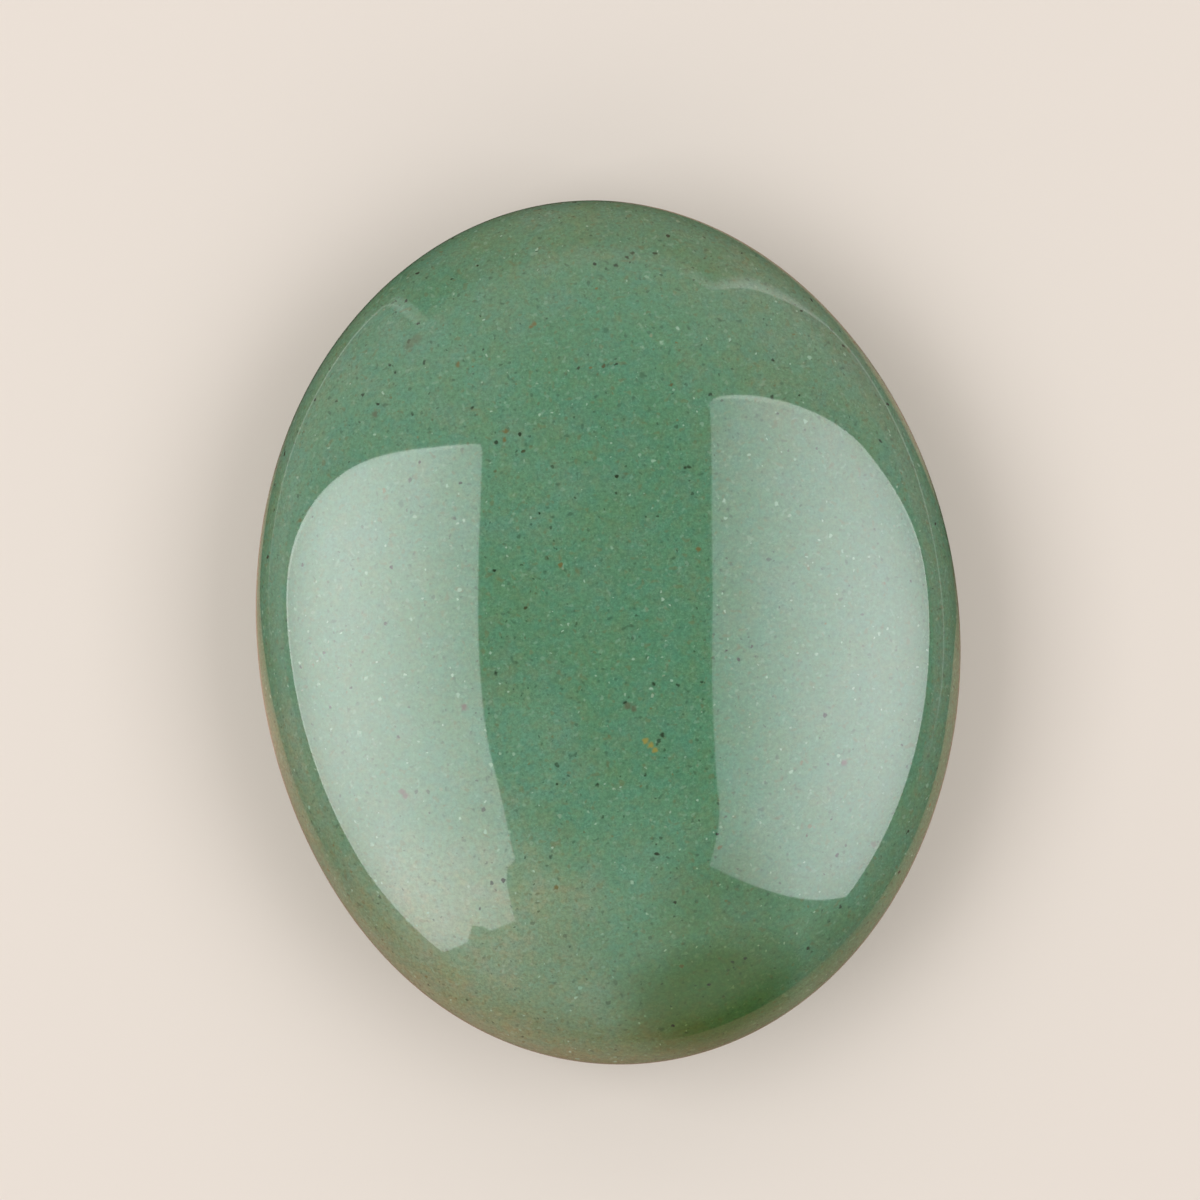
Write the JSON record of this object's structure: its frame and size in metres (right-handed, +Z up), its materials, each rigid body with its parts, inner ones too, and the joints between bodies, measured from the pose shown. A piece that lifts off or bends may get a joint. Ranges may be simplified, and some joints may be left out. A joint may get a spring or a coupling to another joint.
{
  "type": "palm stone",
  "caption": "Smooth oval palm stone of polished green stone, domed above and below, with fully rounded sides and a small flat spot underneath to rest on.",
  "frame": {"origin": "under the middle of the stone, on the small flat spot that it rests on", "axes": "+Z up through the dome, +Y along the oval's long way, +X across it"},
  "size_m": [0.0494, 0.061, 0.021],
  "materials": {
    "polished_green_stone": "polished"
  },
  "bodies": {
    "root": {"palm_stone": "polished_green_stone"}
  },
  "joints": []
}
